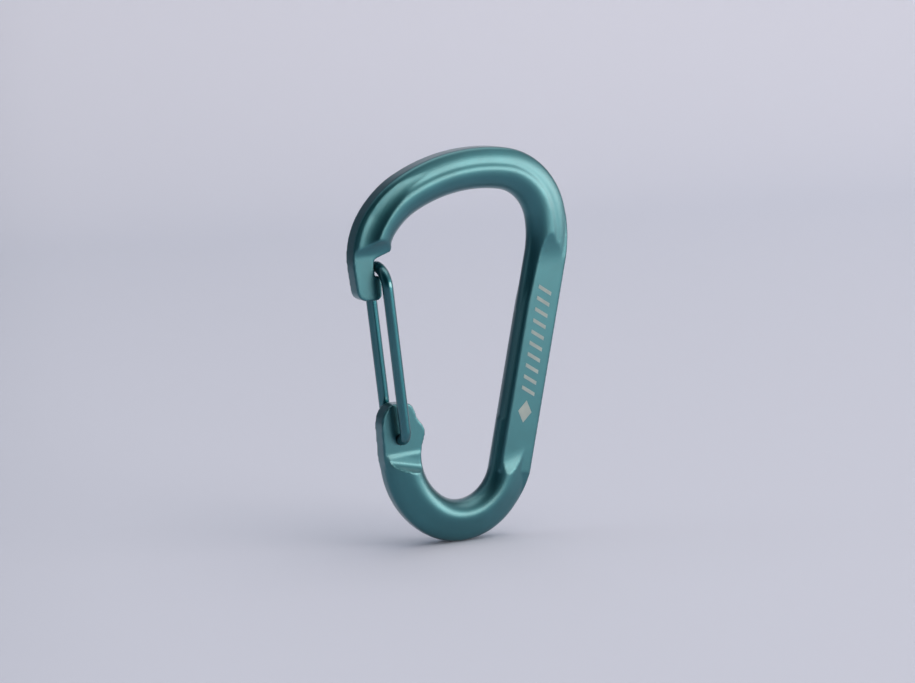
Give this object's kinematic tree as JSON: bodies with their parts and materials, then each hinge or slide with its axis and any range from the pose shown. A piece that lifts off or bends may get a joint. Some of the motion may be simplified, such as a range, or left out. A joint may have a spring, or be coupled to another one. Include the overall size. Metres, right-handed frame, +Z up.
{
  "type": "keyring carabiner",
  "caption": "Small wire-gate carabiner: a teal anodised aluminium body with a wide bow, a flat spine and a hooked nose, closed by a sprung wire gate.",
  "frame": {"origin": "On the ground under the middle of the outline, in the middle plane of the body", "axes": "+X towards the spine, +Z up from the bottom bend to the bow, -Y the front face with the mark"},
  "size_m": [0.0488, 0.0098, 0.0796],
  "materials": {
    "anodised_body": "satin teal anodised",
    "coated_wire": "smooth teal coating on spring wire"
  },
  "bodies": {
    "body": {"frame": "anodised_body"},
    "gate": {"wire_gate": "coated_wire"}
  },
  "joints": [
    {"name": "gate_pivot", "type": "hinge", "parent": "body", "child": "gate", "pos_m": [-0.01408, 0, 0.02245], "axis": [0, 1, 0], "range_deg": [0, 54], "stiffness_Nm_per_rad": 0.08, "springref_deg": -20.05}
  ]
}
